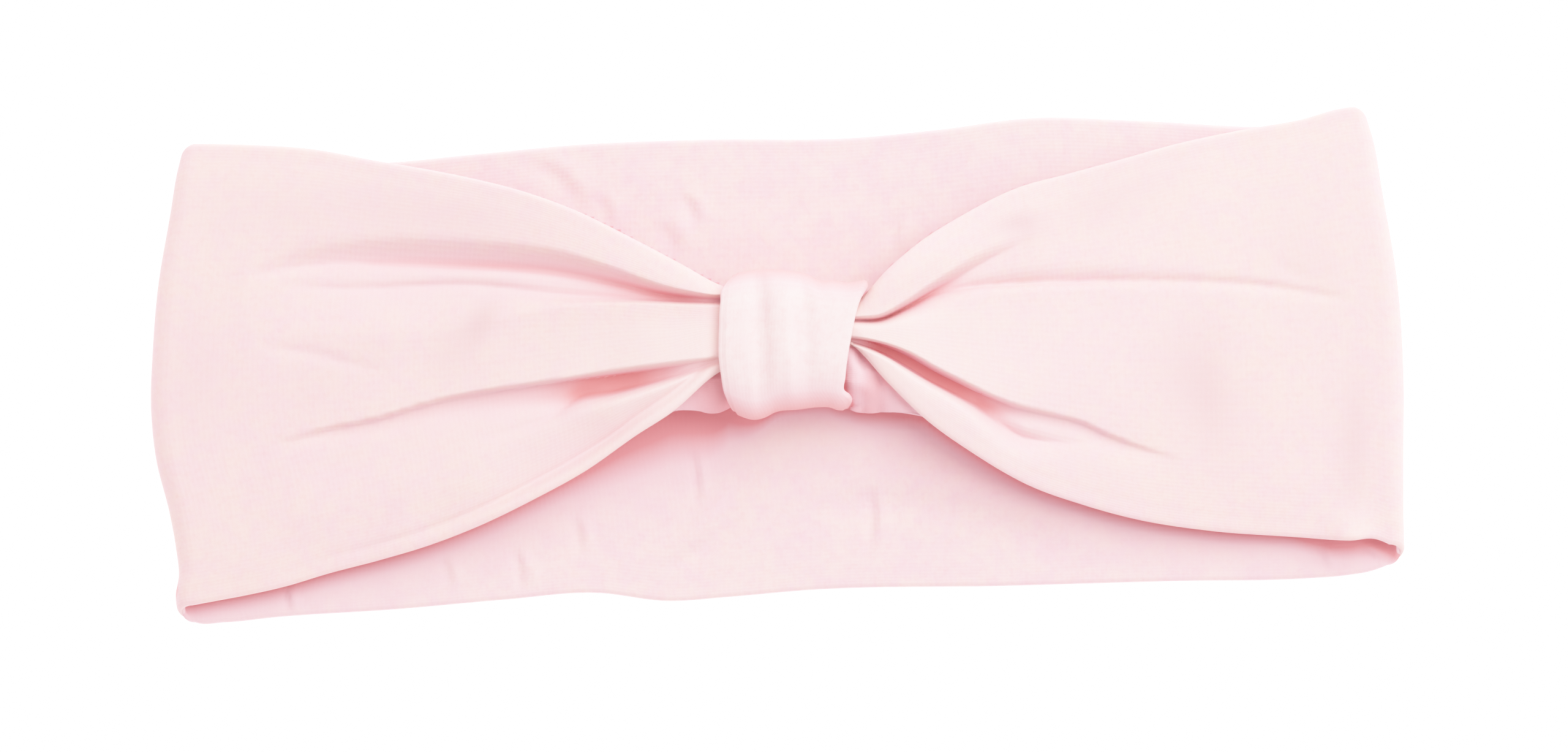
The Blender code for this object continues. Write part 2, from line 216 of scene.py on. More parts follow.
UPPER_CREASE = [
    (-99, 20.2), (-92, 21.2), (-82, 21.7), (-72, 21.3), (-60, 20.4), (-50, 19.6), (-40, 18.2), (-30, 15.8),
    (-20, 13.1), (-12, 12.1), (0, 11.6),
]
PLEAT_FOOT = [
    (-93, 18.2), (-85, 17.3), (-75, 16.9), (-65, 17.0), (-57, 16.7), (-50, 15.8), (-42, 14.5), (-30, 13.0),
    (-20, 12.0), (-12, 11.4), (0, 11),
]
MIDDLE_LINE = [
    (-94, -11.6), (-86, -9.9), (-76, -8.2), (-68, -6.1), (-60, -4.5), (-50, -3.3), (-40, -2.3), (-30, -1.6),
    (-20, -0.5), (-12, 0.6), (0, 1.5),
]
LOWER_PANEL_STEP = 5.0  # from the middle line to where the lower panel starts to rise again
LEFT_FOLDS = [
    Valley(  # the upper roll turns down to the pleat
        UPPER_CREASE,
        depth=[
            (-101, 0), (-93, 0.8), (-82, 1.6), (-65, 2.1), (-50, 2.2), (-38, 1.7), (-28, 1.2), (-18, 0.8),
            (-11, 0.4),
        ],
        above=[(-97, 2.4), (-85, 4.0), (-65, 5.0), (-50, 4.8), (-40, 4.4), (-30, 3.4), (-20, 2.2), (-12, 1.0)],
        below=0.7,
        shoulder=1.25,
    ),
    Terrace(  # the pleat's floor, and the middle ridge that rises from it
        UPPER_CREASE,
        PLEAT_FOOT,
        depth=[
            (-101, 0), (-90, 1.2), (-75, 2.2), (-60, 2.5), (-50, 2.6), (-42, 2.9), (-35, 3.3), (-28, 4.0),
            (-18, 4.5), (-11, 3.0),
        ],
        top_edge=[(-90, 6.0), (-60, 6.5), (-45, 5.5), (-35, 4.2), (-25, 2.6), (-12, 1.0)],
        foot_edge=[(-90, 10.0), (-60, 9.0), (-50, 6.0), (-42, 3.0), (-35, 1.6), (-28, 0.9), (-12, 0.6)],
    ),
    Valley(  # the pleat's foot
        PLEAT_FOOT,
        depth=[(-95, 0), (-85, 0.5), (-75, 0.8), (-50, 0.75), (-42, 0.6), (-32, 0.4), (-24, 0)],
        above=1.6,
        below=0.9,
    ),
    Terrace(  # the lower panel lies below the middle ridge
        MIDDLE_LINE,
        [(x, y - LOWER_PANEL_STEP) for x, y in MIDDLE_LINE],
        depth=[(-97, 0), (-86, 0.9), (-70, 1.6), (-50, 1.9), (-40, 1.6), (-30, 0.4), (-24, 0)],
        top_edge=0.7,
        foot_edge=[(-75, 11.0), (-58, 14.0), (-45, 17.0), (-30, 17.0)],
    ),
    Valley(  # the middle ridge over the lower panel, with a pocket near the wrap
        MIDDLE_LINE,
        lower=[
            (-94, -11.7), (-86, -10.1), (-76, -8.6), (-68, -6.8), (-60, -5.7), (-50, -4.9), (-41, -4.4),
            (-37, -4.4), (-31, -4.0), (-26, -3.2), (-20, -2.0), (-14, -0.5), (-11, 0.3), (0, 1.3),
        ],
        depth=[
            (-97, 0), (-86, 0.6), (-70, 1.1), (-55, 1.5), (-44, 2.4), (-36, 4.8), (-30, 6.3), (-23, 5.2),
            (-16, 2.8), (-11, 1.2),
        ],
        above=[(-90, 1.0), (-60, 0.5), (-42, 0.6), (-30, 1.4), (-20, 1.2), (-12, 0.6)],
        below=[(-90, 2.0), (-75, 3.0), (-55, 3.4), (-44, 3.2), (-36, 2.0), (-24, 1.2), (-12, 0.6)],
        foot=2.0,
    ),
    Valley(  # crease that runs down from the pocket
        [(-60, -13.5), (-54, -12.2), (-48, -10.6), (-42, -8.2), (-37, -4.8), (-33, -3.9)],
        depth=[(-60, 0), (-54, 0.4), (-46, 0.9), (-38, 1.2), (-33, 0)],
        above=3.0,
        below=1.2,
    ),
    Valley(  # ditch inside the lower roll's turned-in edge
        [
            (-67, -28.9), (-57, -25.3), (-47, -20.8), (-37, -15.7), (-31, -12.2), (-27, -9.4), (-20, -5.0),
            (-15, -1.6), (-11, 0.5),
        ],
        depth=[(-72, 0), (-60, 0.7), (-47, 2.2), (-36, 2.5), (-28, 2.2), (-20, 1.7), (-14, 1.0), (-11, 0.4)],
        above=[(-60, 9.0), (-42, 8.0), (-30, 4.5), (-20, 2.4), (-12, 1.2)],
        below=1.4,
        shoulder=1.1,
        foot=2.0,
    ),
    Valley(  # faint crease towards the left end
        [(-99, 6.8), (-95, 6.0), (-88, 4.8), (-82, 2.9), (-74, 0.8)],
        depth=[(-99, 0), (-93, 0.45), (-86, 0.55), (-78, 0.25), (-73, 0)],
        above=2.4,
        below=1.0,
    ),
]
RIGHT_FOLDS = [
    Valley(  # the upper roll over the middle ridge
        [
            (0, 7.4), (13, 7.2), (16, 7.0), (20, 7.0), (25, 9.0), (30, 11.7), (35, 14.3), (40, 16.9), (45, 19.3),
            (50, 21.6),
        ],
        depth=[(13, 2.2), (16, 3.8), (20, 6.0), (26, 6.1), (32, 4.5), (38, 2.7), (44, 1.3), (50, 0)],
        above=[(14, 0.7), (25, 1.4), (35, 2.2), (48, 2.6)],
        below=[(14, 0.5), (24, 0.8), (32, 2.2), (40, 3.4), (48, 3.4)],
    ),
    Valley(  # the long step along the middle ridge
        [
            (24, 9.2), (31, 11.5), (37, 12.5), (45, 12.8), (60, 12.7), (75, 12.1), (88, 11.2), (98, 9.8), (106, 8.2),
            (112, 7),
        ],
        depth=[
            (24, 0), (29, 0.4), (35, 2.0), (42, 2.3), (52, 2.1), (65, 1.7), (80, 1.3), (95, 1.0), (104, 0.7),
            (111, 0),
        ],
        above=[(28, 1.6), (40, 4.2), (52, 4.6), (70, 3.8), (85, 2.8), (110, 1.6)],
        below=[(28, 0.6), (60, 0.6), (100, 0.9)],
        shoulder=2.7,
    ),
    Valley(  # the middle ridge over the lower roll
        [
            (0, 3.8), (13, 3.7), (16, 3.3), (20, 2.3), (25, 0.2), (30, -2.9), (35, -5.7), (40, -8.4),
            (45, -10.6), (52, -12.6), (58, -14.5), (62, -16.6), (68, -19.2), (75, -21.6), (80, -23),
        ],
        lower=[
            (0, 3.4), (13, 3.3), (16, 2.5), (20, 0.8), (25, -2.2), (30, -5.3), (35, -8.0), (39, -9.9),
            (43, -10.6), (47, -11.5), (52, -12.8), (58, -14.7), (62, -16.8), (68, -19.4), (75, -21.8), (80, -23.2),
        ],
        depth=[
            (13, 2.2), (16, 3.8), (19, 5.8), (28, 6.8), (35, 6.2), (41, 4.8), (47, 3.0), (58, 2.0), (66, 1.3),
            (72, 0.5), (77, 0),
        ],
        above=[(14, 0.5), (30, 0.7), (50, 0.7), (75, 0.8)],
        below=[(14, 0.3), (25, 0.55), (36, 1.3), (42, 3.0), (48, 5.0), (60, 3.4), (75, 2.6)],
        foot=1.6,
    ),
    Valley(  # crease that branches off over the lower roll
        [(37, -9.0), (40, -11.6), (43, -14.2), (46, -16.2), (50, -17.3), (55, -17.9), (61, -18.2)],
        depth=[(37, 0), (40, 1.5), (43, 2.6), (46, 2.6), (51, 1.4), (57, 0.4), (61, 0)],
        above=2.6,
        below=2.0,
    ),
]


def front_share(x, y):
    """Share of the front panel's width at (x, y), and the distance to its nearer edge."""
    low, high = front_lower(x), front_upper(x)
    return (y - low) / (high - low), np.maximum(np.minimum(y - low, high - y), 0)


def dimple(x, y, at, radius, depth, turn=0.0, stretch=1.0):
    """A soft hollow; turn is the angle of its long side and stretch how long it is."""
    dx = (x - at[0]) * math.cos(turn) + (y - at[1]) * math.sin(turn)
    dy = (y - at[1]) * math.cos(turn) - (x - at[0]) * math.sin(turn)
    return depth * np.exp(-((dx / (radius * stretch)) ** 2 + (dy / radius) ** 2))


def gathered(x, reach):
    """1 at the wrap, falling to 0 away from it."""
    beyond = np.maximum(np.maximum(WRAP_LOW[0] - x, x - WRAP_HIGH[0]), 0)
    return np.exp(-((beyond / reach) ** 1.5))


LOWER_EDGE_RAISE = 0.4  # share of the way from the edge height to the middle height
TUCK_DEPTH = 0.7  # the front dips where it goes in under the wrap's left edge
TUCK_RADIUS = 1.9


def plain_height(x, share, edge):
    """Height of the front panel over its width; the lower edge stands a little higher than the upper one."""
    inward = np.clip(edge / rounding(x), 0, 1)
    at_edge = mix(edge_height(x), middle_height(x), LOWER_EDGE_RAISE * (1 - ease(share, 0.3, 0.7)))
    return mix(at_edge, middle_height(x), 1 - (1 - inward) ** 2)


def front_base(x, y):
    """Height of the front panel's outside before its folds: low and rounded edges, highest at the wrap."""
    share, edge = front_share(x, y)
    tuck = TUCK_DEPTH * np.exp(-(((x - WRAP_LOW[0]) / TUCK_RADIUS) ** 2))
    return plain_height(x, share, edge) - tuck


def fold_drop(x, y, widen=1.0):
    """How far the folds lower the front panel."""
    drop = 0
    for fold in LEFT_FOLDS:
        drop = drop + fold.drop(np.minimum(x, 0), y, widen) * (x < SEAM_X)
    for fold in RIGHT_FOLDS:
        drop = drop + fold.drop(np.maximum(x, 0), y, widen) * (x >= SEAM_X)
    return drop


OPEN_CORNER = (108.0, -39.0)  # middle of the part that stands open
OPEN_CORNER_LIFT = 3.0
OPEN_CORNER_RADII = (4.5, 5.0)


def corner_lift(x, y):
    """Near the right end the lower edge stands open."""
    across, up = (x - OPEN_CORNER[0]) / OPEN_CORNER_RADII[0], (y - OPEN_CORNER[1]) / OPEN_CORNER_RADII[1]
    return OPEN_CORNER_LIFT * np.exp(-(across**2) - up**2)


SOFT_HOLLOWS = [  # in the front panel: place, radius, depth, turn, stretch
    ((-57.5, 8.5), 2.4, 0.9, 1.0, 2.2),
    ((80.5, -9.0), 4.2, 0.9, 1.45, 2.4),
    ((47.0, 23.6), 1.9, 0.7, 0.4, 1.7),
    ((100.0, 12.5), 1.6, 0.3, -0.5, 2.4),
]


def outer_height(x, y):
    """Height of the front panel's outside with its folds."""
    z = front_base(x, y) - fold_drop(x, y)
    for hollow in SOFT_HOLLOWS:
        z = z - dimple(x, y, *hollow)
    away_from_ends = 1 - ease(np.abs(x), 96, 111)
    uneven = 0.3 * ripples(x, y * 1.6, 46.0, seed=3) + 0.09 * ripples(x, y, 13.0, seed=4)
    return z + away_from_ends * uneven + corner_lift(x, y)


DARKER_MARKS = [  # darker, browner marks: place, radius, strength, turn, stretch
    ((-58.0, 8.0), 3.1, 1.0, 0.93, 2.7),
    ((80.5, -9.0), 6.0, 1.0, 1.9, 2.2),
    ((110.0, -19.0), 2.8, 0.8, 1.5, 4.6),
    ((101.0, 18.0), 6.0, 0.4, 1.9, 2.0),
    ((-87.0, 0.0), 5.0, 0.2, 0.4, 2.6),
    ((-110.0, 0.0), 7.0, 0.4, 1.5, 1.6),
    ((47.0, 23.5), 2.7, 0.95, -0.1, 1.9),
    # This broad mark on the upper left panel is painted shade.
    ((-72.0, 31.0), 6.0, 0.55, -0.08, 6.0),
    ((64.0, 28.0), 5.0, 0.5, 0.25, 2.6),
]


# ---- the band's two layers -----------------------------------------------------------------------
def rim(edge, strength):
    """How far the surface lies below its plain height near an edge: round at the seam, then a shallow groove."""
    inside = np.clip(1 - edge / RIM_RADIUS, 0, 1)
    round_edge = PLAIN_HALF * (1 - np.sqrt(np.clip(1 - inside**2, 0, 1)))
    groove = RIM_GROOVE * strength * np.exp(-(((edge - RIM_WIDTH) / RIM_GROOVE_RADIUS) ** 2))
    return round_edge + groove


FAINT_RIM = 0.12  # how much the turned-in allowance shows elsewhere


def rim_strength(x, v):
    """The turned-in allowance shows most along the left lobe's lower edge."""
    lower_left = ease(x, -95, -70) * (1 - ease(x, -14, -9)) * (v < 0.5)
    return mix(FAINT_RIM, 1.0, lower_left)


def crowded_shares(count, crowding=0.5):
    """Shares from 0 to 1 that stand closer together towards both ends."""
    t = np.linspace(0, 1, count)
    return t - crowding * np.sin(2 * math.pi * t) / (2 * math.pi)


def front_shares(count, crowding=1.35):
    """Shares of the way from the seam to an end, closer together near the wrap."""
    return np.linspace(0, 1, count) ** crowding


class Layer:
    """One layer of the band: its edges, its height over the front, and its depth in from the outside.

    setbacks say how far its edges lie inside the band's, and relief how strongly it follows the back's relief.
    """

    def __init__(self, low, high, height, inset, front_setback=0.0, back_setback=0.0, relief=0.0):
        self.low = low
        self.high = high
        self.height = height
        self.inset = inset
        self.front_setback = front_setback
        self.back_setback = back_setback
        self.relief = relief

    def across(self, x, v, low, high, setback):
        """Where the share v of the width is at x, and how far that is from the nearer edge."""
        low, high = low(x) + setback, high(x) - setback
        return mix(low, high, v), np.minimum(v, 1 - v) * (high - low)

    def front(self, x, v):
        """Points of the front panel; v is the share of the width from the lower edge."""
        y, edge = self.across(x, v, self.low, self.high, self.front_setback)
        return x, y, self.height(x, y) - self.inset(edge, x, v)

    def turn(self, x_end, v, share, side):
        """The half circle at an end; share is 0 at the front and 1 at the back."""
        centre_x = x_end - side * end_radius(v)
        angle = math.pi * (0.5 - share)
        down = (1 - np.sin(angle)) / 2
        front_y, edge = self.across(centre_x, v, self.low, self.high, self.front_setback)
        back_y, _ = self.across(centre_x, v, back_lower, back_upper, self.back_setback)
        y = mix(front_y, back_y, down)
        top = self.height(centre_x, front_y) - self.inset(edge, centre_x, v)
        bottom = self.back_height(centre_x, back_y, edge, v)
        radius = (top - bottom) / 2
        return centre_x + side * radius * np.cos(angle), y, (top + bottom) / 2 + radius * np.sin(angle)

    def back_height(self, x, y, edge, v):
        """Height of this layer's face of the back panel, where the outer layer is the one on the ground."""
        return self.inset(edge, None, v) + self.relief * ease(edge, -1.0, 4.0) * back_relief(x, y)

    def back(self, x, v):
        """Points of the back panel."""
        y, edge = self.across(x, v, back_lower, back_upper, self.back_setback)
        return x, y, self.back_height(x, y, edge, v)

    def grid(self, v, front_columns, turn_columns, back_columns):
        """Points of the whole strip as an array of rows (one for each share in v) by columns by 3."""
        v = np.asarray(v)[:, None]
        left_centre = left_end(v) + end_radius(v)
        right_centre = right_end(v) - end_radius(v)
        ahead = front_shares(front_columns)[None, :]
        round_ = (np.arange(1, turn_columns) / turn_columns)[None, :]
        across = np.linspace(0, 1, back_columns)[None, :]
        pieces = [
            self.front(mix(SEAM_X + SEAM_GAP / 2, right_centre, ahead), v),
            self.turn(right_end(v), v, round_, 1),
            self.back(mix(right_centre, left_centre, across), v),
            self.turn(left_end(v), v, 1 - round_, -1),
            self.front(mix(SEAM_X - SEAM_GAP / 2, left_centre, ahead[:, ::-1]), v),
        ]
        pieces = [np.stack(np.broadcast_arrays(*piece), axis=-1) for piece in pieces]
        return np.concatenate(pieces, axis=1)


END_X = 104.0  # the front's height there, over this width, gives the roundness of both ends
END_WIDTH = 86.0


def end_radius(v):
    """Half the band's height where it turns under at an end."""
    return plain_height(END_X, v, np.minimum(v, 1 - v) * END_WIDTH) / 2


def wrinkle(x, y, start, end, depth, width, bow):
    """A short crease between two points, bowed to one side, with a small lip beside it."""
    along = np.array(end) - np.array(start)
    length = math.hypot(*along)
    along = along / length
    t = ((x - start[0]) * along[0] + (y - start[1]) * along[1]) / length
    off = (y - start[1]) * along[0] - (x - start[0]) * along[1] - bow * 4 * t * (1 - t)
    fade = ease(t, -0.25, 0.4) * (1 - ease(t, 0.6, 1.25))
    lip = np.exp(-(((off - 1.5 * width) / width) ** 2))
    return depth * fade * (lip - np.exp(-((off / width) ** 2)))


WRINKLE_DEPTH = 1.7
BACK_WRINKLES = [  # start, end, strength, width, bow
    ((-46, 40), (-36.5, 30.5), 0.25, 2.0, 1.2),
    ((-33, 33), (-32, 27), 0.2, 1.6, 0.4),
    ((-17, 32.5), (-14.5, 26.5), 0.25, 1.3, 0.5),
    ((-22, 27), (-19, 21), 0.24, 1.9, 0.8),
    ((25, 27), (23, 21), 0.24, 1.2, -0.4),
    ((-17, -17), (-16.4, -26), 0.34, 0.9, 0.4),
    ((-21, -39), (-8, -27), 0.34, 2.2, -1.5),
    ((-51.5, -34.5), (-50.8, -42.5), 0.34, 0.9, 0.3),
    ((-49.5, -37), (-49, -42.5), 0.24, 0.7, 0.2),
    ((-40, -28.5), (-39.4, -35), 0.26, 1.1, 0.3),
    ((-65.5, -35.5), (-64.5, -41), 0.24, 1.0, 0.3),
    ((-96.3, -39), (-95.4, -45), 0.4, 0.8, 0.2),
    ((17, -26), (16.2, -36), 0.36, 1.2, 0.6),
    ((2, -30), (54, -39), 0.3, 3.2, 5.5),
    ((102.5, -40), (104.0, -45), 0.34, 0.9, 0.3),
    ((110.5, -40.5), (114.5, -43.5), 0.34, 0.8, 0.3),
]


def back_relief(x, y):
    """Small height changes of the back panel's upper face."""
    relief = 0.16 * ripples(x, y, 42.0, seed=11) + 0.05 * ripples(x, y, 12.0, seed=12)
    for start, end, strength, width, bow in BACK_WRINKLES:
        relief = relief + wrinkle(x, y, start, end, WRINKLE_DEPTH * strength, width, bow)
    return relief


def outer_inset(edge, x, v):
    """The outer layer is the band's outside; x is None on the back."""
    return rim(edge, 0.0 if x is None else rim_strength(x, v))


CURL_DEPTH = 0.8  # of the lining's free edge beside the wrap
CURL_WIDTH = 1.8  # from that edge to where the curl starts
LINING_GAP = 0.15  # between the two layers, besides their thickness
FLAP_TOP = 13.5  # height that the loose lining beside the wrap hangs from
FLAP_TOP_Y = -2.8  # it droops from here down
LOWEST_FLAP = 7.4  # the same where it comes down to the back panel
FACET_HEIGHT = 3.2  # of the fold beside the wrap's lower right
GROOVE_DEPTH = 2.0  # of the lining along the wrap's right edge


def lining_inset(edge, x, v):
    """The lining is on the band's inside; beside the wrap its lower edge is free and curls down."""
    sewn = 2 * PLAIN_HALF - rim(edge, 0.0)
    if x is None:
        return sewn
    free = gathered(x, 10.0) * (v < 0.5)
    curled = 2 * PLAIN_HALF + CURL_DEPTH * np.clip(1 - edge / CURL_WIDTH, 0, 1) ** 2
    return mix(sewn, curled, free)


def crease_x(y):
    """Where the lining's crease beside the wrap's lower right is; the cloth to its left is a lit facet."""
    return 16.2 - 0.7 * y


def lining_front_height(x, y):
    """Height that the lining hangs from: under the outer layer's folds, and lower in the gathers."""
    held = np.clip(y, front_lower(x), front_upper(x))
    _, edge = front_share(x, held)
    drop = mix(fold_drop(x, held), 1.1 * fold_drop(x, held, widen=1.9), ease(edge, 0.5, 3.0))
    under_folds = front_base(x, held) - drop - LINING_GAP + corner_lift(x, held)
    droop = mix(0.75, 0.45, gathered(x, 3.0))
    flap = FLAP_TOP - droop * np.maximum(FLAP_TOP_Y - y, 0)
    facet = np.clip(0.9 * (crease_x(y) - x), 0, FACET_HEIGHT) * ease(y, -9.5, -5.0) * ease(x, 10, 12)
    groove = GROOVE_DEPTH * np.exp(-((x - wrap_right(y)) ** 2)) * ease(-y, 1.5, 6.0)
    soft = 0.35 * ripples(x * 2.2, y, 7.0, seed=8)
    loose = np.maximum(flap + facet - groove + soft, LOWEST_FLAP)
    return np.minimum(mix(under_folds, loose, gathered(x, 9.0)), under_folds)


OUTER = Layer(front_lower, front_upper, outer_height, outer_inset, back_setback=SETBACK)
LINING = Layer(lining_lower, lining_upper, lining_front_height, lining_inset, front_setback=SETBACK, relief=1.0)
# The surface midway between the two, for the seams that join them.
BETWEEN = Layer(front_lower, front_upper, outer_height, lambda edge, x, v: PLAIN_HALF + 0 * edge, relief=0.5)


def make_mesh(name, points, flat_size, flip=False):
    """A mesh through a grid of points in millimetres, with a UV map in metres of flat cloth."""
    rows, columns = points.shape[:2]
    index = np.arange(rows * columns).reshape(rows, columns)
    quads = np.stack([index[:-1, :-1], index[:-1, 1:], index[1:, 1:], index[1:, :-1]], axis=-1).reshape(-1, 4)
    if flip:
        quads = quads[:, ::-1]
    mesh = bpy.data.meshes.new(name)
    mesh.from_pydata((points.reshape(-1, 3) * MM).tolist(), [], quads.tolist())
    along = np.linalg.norm(np.diff(points[rows // 2], axis=0), axis=1)
    along = np.concatenate([[0], np.cumsum(along)])
    u = along / along[-1] * flat_size[1] * MM
    v = np.linspace(0, 1, rows) * flat_size[0] * MM
    uv = np.stack(np.broadcast_arrays(u[None, :], v[:, None]), axis=-1).reshape(-1, 2)
    layer = mesh.uv_layers.new(name="cloth")
    loops = np.zeros(len(mesh.loops), np.int32)
    mesh.loops.foreach_get("vertex_index", loops)
    layer.data.foreach_set("uv", uv[loops].astype(np.float32).ravel())
    mesh.shade_smooth()
    return mesh


def add_piece(name, data, finish, node):
    """Links a new piece, which rides on the frame's one body and stands for the CAD node."""
    piece = bpy.data.objects.new(name, data)
    bpy.context.scene.collection.objects.link(piece)
    piece.data.materials.append(finish)
    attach(piece, "root")
    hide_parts(node)
    return piece


def thicken(piece, thickness):
    """Gives a sheet its thickness, inwards from the outside that was modelled."""
    solid = piece.modifiers.new("cloth thickness", "SOLIDIFY")
    solid.thickness = thickness * MM
    solid.offset = -1


def store(piece, name, values):
    """Stores a share from 0 to 1 at each point, which the materials read for their colour.

    hollow is painted shade: how deep a point lies in the folds or how shaded it is; darker_mark where the cloth has
    darker, browner marks, one of them painted shade; and paler_patch where it is paler, on the back panel as painted
    light.
    """
    attribute = piece.data.attributes.new(name, "FLOAT", "POINT")
    attribute.data.foreach_set("value", np.clip(values, 0, 1).astype(np.float32).ravel())


def shelter(x, y):
    """How much the front panel and the wrap shade the back panel at (x, y), from 0 to 1.

    Below the front there is a broad soft shadow and a tight one at its edge, both deepest left of the wrap, and one
    at the open corner; above it there is only a faint one.
    """
    low = np.minimum(front_lower(x), lining_lower(x))
    low = np.where((x > -10.5) & (x < 15), np.minimum(low, wrap_bottom(x)), low)
    below = np.maximum(low - y, 0)
    above = np.maximum(y - np.maximum(front_upper(x), lining_upper(x)), 0)
    near_wrap = np.exp(-((x / 32.0) ** 4))
    under_wrap = np.exp(-(((x - WRAP_MIDDLE_X) / 11.0) ** 2))
    left = 1 - ease(x, -14, 12)
    reach = mix(mix(8.0, 11.5, left), 2.5, under_wrap)
    fade = np.exp(-((below / reach) ** mix(1.0, 1.25, left)))
    broad = mix(0.45, mix(0.6, 1.15, left), near_wrap) * (1 - 0.5 * under_wrap) * fade
    tight = mix(0.45, mix(0.35, 0.5, left), near_wrap) * np.exp(-below / 1.7)
    opening = 0.5 * ease(x, 96, 106) * np.exp(-below / 3.0)
    over = mix(0.1, 0.3, ease(x, 5, 20)) * np.exp(-above / 3.5)
    return np.where(above > 0, over, 0.95 * (broad + tight) + opening)


def beside_wrap(x, y):
    """How much painted shade the cloth that comes out from under the wrap gets, with a painted dark line in the gap
    at the wrap's right edge.
    """
    right_of_wrap = x - wrap_right(y)
    gap = 1.2 * np.exp(-np.maximum(right_of_wrap, 0) / 1.1) * ease(-y, 0.5, 3.5) * (x > 5)
    past_crease = ease(x - crease_x(y), 0.3, 1.8) + 0.5 * (x < 0)
    away = ease(right_of_wrap - 0.3 * y, 3.0, 7.0)
    return np.maximum(gap, mix(mix(0.5, 0.72, away), 0.95, past_crease) * gathered(x, 16.0))


# ---- materials -----------------------------------------------------------------------------------
class Nodes:
    """Short ways to add and join shader nodes."""

    def __init__(self, name):
        self.material = bpy.data.materials.new(name)
        self.material.use_nodes = True
        self.tree = self.material.node_tree
        self.shader = self.tree.nodes["Principled BSDF"]

    def add(self, kind, **settings):
        """A new node of this kind, with these settings."""
        node = self.tree.nodes.new("ShaderNode" + kind)
        for key, value in settings.items():
            setattr(node, key, value)
        return node

    def link(self, source, target):
        self.tree.links.new(source, target)

    def feed(self, sockets, values):
        """Links each input to a node's output, or sets it to a plain value."""
        for socket, value in zip(sockets, values):
            if hasattr(value, "is_linked"):
                self.link(value, socket)
            else:
                socket.default_value = value

    def math(self, operation, a, b):
        node = self.add("Math", operation=operation)
        self.feed(node.inputs, (a, b))
        return node.outputs[0]

    def texture(self, kind, source, inputs, **settings):
        """The strength of a texture of this kind, laid out by the source's coordinates."""
        node = self.add("Tex" + kind, **settings)
        for name, value in inputs.items():
            node.inputs[name].default_value = value
        self.link(source, node.inputs["Vector"])
        return node.outputs["Fac"]

    def noise(self, source, scale, detail=3.0):
        return self.texture("Noise", source, {"Scale": scale, "Detail": detail, "Roughness": 0.55})

    def stored(self, name):
        """The share that store() has put at each point."""
        return self.add("Attribute", attribute_name=name).outputs["Fac"]

    def mix_colour(self, share, a, b):
        node = self.add("Mix", data_type="RGBA")
        self.feed((node.inputs[0], node.inputs[6], node.inputs[7]), (share, a, b))
        return node.outputs[2]

    def ramp(self, source, low, high):
        """0 where the source is at low or less, 1 where it is at high or more."""
        node = self.add("MapRange")
        node.inputs["From Min"].default_value = low
        node.inputs["From Max"].default_value = high
        self.link(source, node.inputs["Value"])
        return node.outputs["Result"]

    def bump(self, height, strength, distance):
        """Bumps the surface by this height, up to the distance in metres."""
        node = self.add("Bump")
        node.inputs["Strength"].default_value = strength
        node.inputs["Distance"].default_value = distance
        self.link(height, node.inputs["Height"])
        self.link(node.outputs["Normal"], self.shader.inputs["Normal"])

    def surface(self, inputs):
        """Sets the shader's plain values by their names."""
        for name, value in inputs.items():
            self.shader.inputs[name].default_value = value


PINK = (0.860, 0.575, 0.540, 1.0)
PATCH_AND_SHADE_PINK = (0.845, 0.526, 0.565, 1.0)  # its random patches, and painted shade in shallow hollows and on the wrap's top and bottom
FLECK_AND_FOLD_SHADE_PINK = (0.75, 0.27, 0.265, 1.0)  # its fine flecks, and painted shade in the deepest folds and along the wrap's lower edge
LINING_PINK = (0.865, 0.592, 0.580, 1.0)
# The lining's patch and fleck colours also paint the shadow of the front and the wrap on the back panel, and shade
# beside the wrap.
LINING_PATCH_AND_SHADOW_PINK = (0.825, 0.518, 0.582, 1.0)
LINING_FLECK_AND_SHADOW_PINK = (0.75, 0.258, 0.270, 1.0)
WRAP_PINK = (0.885, 0.670, 0.660, 1.0)
# Paler cloth; on the back panel it is painted light.
PALER_PATCH_PINK = (0.885, 0.655, 0.625, 1.0)
# Darker, browner marks; one of them is painted shade.
DARKER_MARK_PINK = (0.71, 0.455, 0.472, 1.0)
THREAD_PINK = (0.90, 0.60, 0.61, 1.0)


